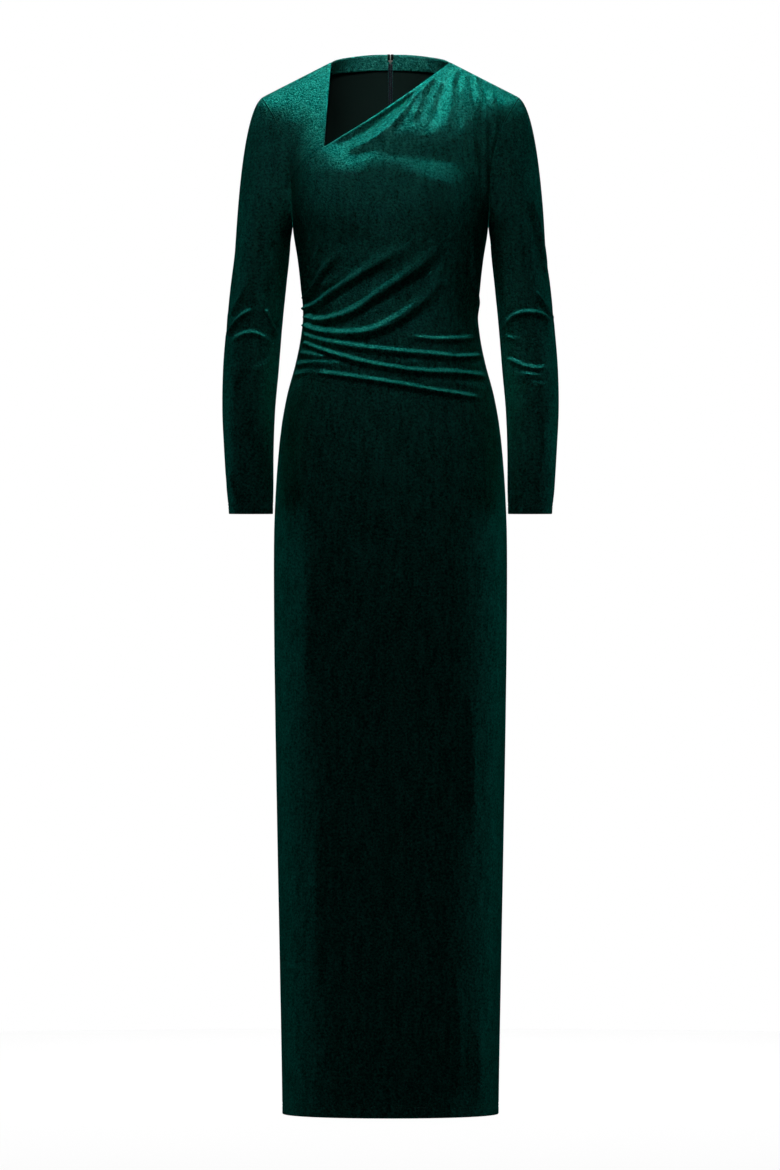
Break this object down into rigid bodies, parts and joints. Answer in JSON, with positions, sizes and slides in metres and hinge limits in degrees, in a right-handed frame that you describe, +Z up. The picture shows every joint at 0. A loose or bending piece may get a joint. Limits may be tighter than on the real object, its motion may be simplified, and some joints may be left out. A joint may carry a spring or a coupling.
{
  "type": "long-sleeved floor-length velvet gown",
  "caption": "Floor-length velvet gown with long fitted sleeves, a slanted draped neckline, a side-gathered waist and a centre-back zip, hollow as worn",
  "frame": {"origin": "midway between the neck points of the shoulder seams, 3 mm below them, where the gown hangs from its wearer's shoulders", "axes": "+X to the wearer's left, +Y to the wearer's back, +Z up along the length of the gown"},
  "size_m": [0.4876, 0.2559, 1.5405],
  "materials": {
    "velvet": "stretch velvet, short nap with a soft sheen",
    "zip_tape": "woven polyester tape with a nylon coil",
    "zip_metal": "satin nickel"
  },
  "bodies": {
    "gown": {"front": "velvet", "yoke_right": "velvet", "back_left": "velvet", "back_right": "velvet", "sleeve_left": "velvet", "sleeve_right": "velvet", "facing_left": "velvet", "facing_right": "velvet", "zip_tape_left": "zip_tape", "zip_tape_right": "zip_tape", "zip_slider": "zip_metal"},
    "pull": {"zip_pull": "zip_metal"}
  },
  "joints": [
    {"name": "pull_hinge", "type": "hinge", "parent": "gown", "child": "pull", "pos_m": [0, 0.06976, 0.01315], "axis": [1, 0, 0], "range_deg": [0, 150]}
  ]
}
